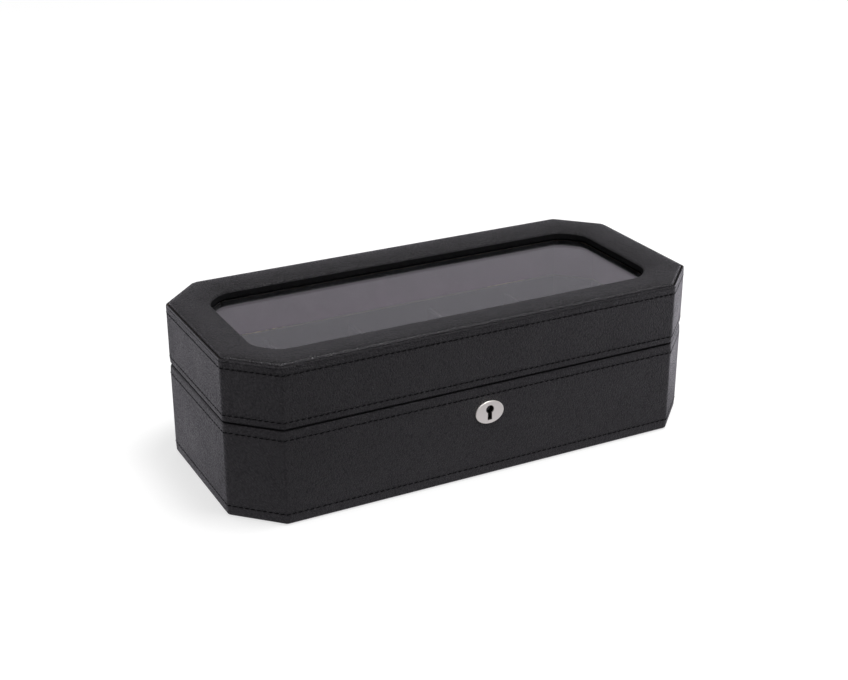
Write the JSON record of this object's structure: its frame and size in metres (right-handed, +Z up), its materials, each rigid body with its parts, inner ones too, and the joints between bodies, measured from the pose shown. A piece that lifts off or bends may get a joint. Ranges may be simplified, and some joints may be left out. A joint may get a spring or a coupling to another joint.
{
  "type": "watch box",
  "caption": "Leather-covered box with cut corners, a hinged lid with a padded glass-topped frame, a key lock, and padded watch cushions in divided places.",
  "frame": {"origin": "centre of the underside, on the surface that the box stands on", "axes": "+X along the box, -Y towards the lock, +Y towards the hinges, +Z up"},
  "size_m": [0.324, 0.1483, 0.1029],
  "materials": {
    "leatherette": "fine pebbled grain, satin",
    "fibreboard": "plain sawn edge",
    "suede_bead": "suede cloth over a wooden bead",
    "felt": "short felt",
    "base_suede": "brushed suede cloth on card",
    "lid_suede": "brushed suede cloth on card",
    "cushion_suede": "brushed suede over wadding",
    "foam": "soft foam",
    "glass": "clear, polished",
    "satin_nickel": "satin nickel plate",
    "hinge_brass": "polished, lacquered",
    "lock_steel": "nickel-plated steel"
  },
  "bodies": {
    "base": {"base_leather_cover": "leatherette", "base_wall_core": "fibreboard", "base_floor_board": "fibreboard", "underside_felt": "felt", "base_floor_lining": "base_suede", "base_wall_lining": "base_suede", "divider_1": "base_suede", "divider_2": "base_suede", "divider_3": "base_suede", "divider_4": "base_suede", "lock_case": "lock_steel", "lock_cap": "lock_steel", "lock_drill_pin": "lock_steel", "lock_screws": "lock_steel", "keyhole_escutcheon": "satin_nickel", "hinge_base_leaf_left": "hinge_brass", "hinge_base_leaf_right": "hinge_brass", "hinge_pin_left": "hinge_brass", "hinge_pin_right": "hinge_brass", "hinge_base_screws": "hinge_brass"},
    "lid": {"lid_wall_core": "fibreboard", "lid_top_board": "fibreboard", "lid_side_leather": "leatherette", "lid_pad_foam": "foam", "lid_pad_leather": "leatherette", "window_glass": "glass", "glass_retainer": "suede_bead", "lid_ceiling_lining": "lid_suede", "lid_wall_lining": "lid_suede", "link_plate": "lock_steel", "link_plate_screws": "lock_steel", "hinge_lid_leaf_left": "hinge_brass", "hinge_lid_leaf_right": "hinge_brass", "hinge_lid_screws": "hinge_brass"},
    "cushion_1": {"watch_cushion_1": "cushion_suede"},
    "cushion_2": {"watch_cushion_2": "cushion_suede"},
    "cushion_3": {"watch_cushion_3": "cushion_suede"},
    "cushion_4": {"watch_cushion_4": "cushion_suede"},
    "cushion_5": {"watch_cushion_5": "cushion_suede"},
    "bolt": {"lock_bolt": "lock_steel", "lock_detent_spring": "lock_steel"}
  },
  "joints": [
    {"name": "lid_hinge", "type": "hinge", "parent": "base", "child": "lid", "pos_m": [0, 0.07075, 0.0619], "axis": [-1, 0, 0], "range_deg": [0, 100]},
    {"name": "cushion_1_lift", "type": "slide", "parent": "base", "child": "cushion_1", "axis": [0, 0, 1], "range_m": [0, 0.03]},
    {"name": "cushion_2_lift", "type": "slide", "parent": "base", "child": "cushion_2", "axis": [0, 0, 1], "range_m": [0, 0.03]},
    {"name": "cushion_3_lift", "type": "slide", "parent": "base", "child": "cushion_3", "axis": [0, 0, 1], "range_m": [0, 0.03]},
    {"name": "cushion_4_lift", "type": "slide", "parent": "base", "child": "cushion_4", "axis": [0, 0, 1], "range_m": [0, 0.03]},
    {"name": "cushion_5_lift", "type": "slide", "parent": "base", "child": "cushion_5", "axis": [0, 0, 1], "range_m": [0, 0.03]},
    {"name": "lock_bolt_slide", "type": "slide", "parent": "base", "child": "bolt", "axis": [1, 0, 0], "range_m": [0, 0.004]}
  ]
}
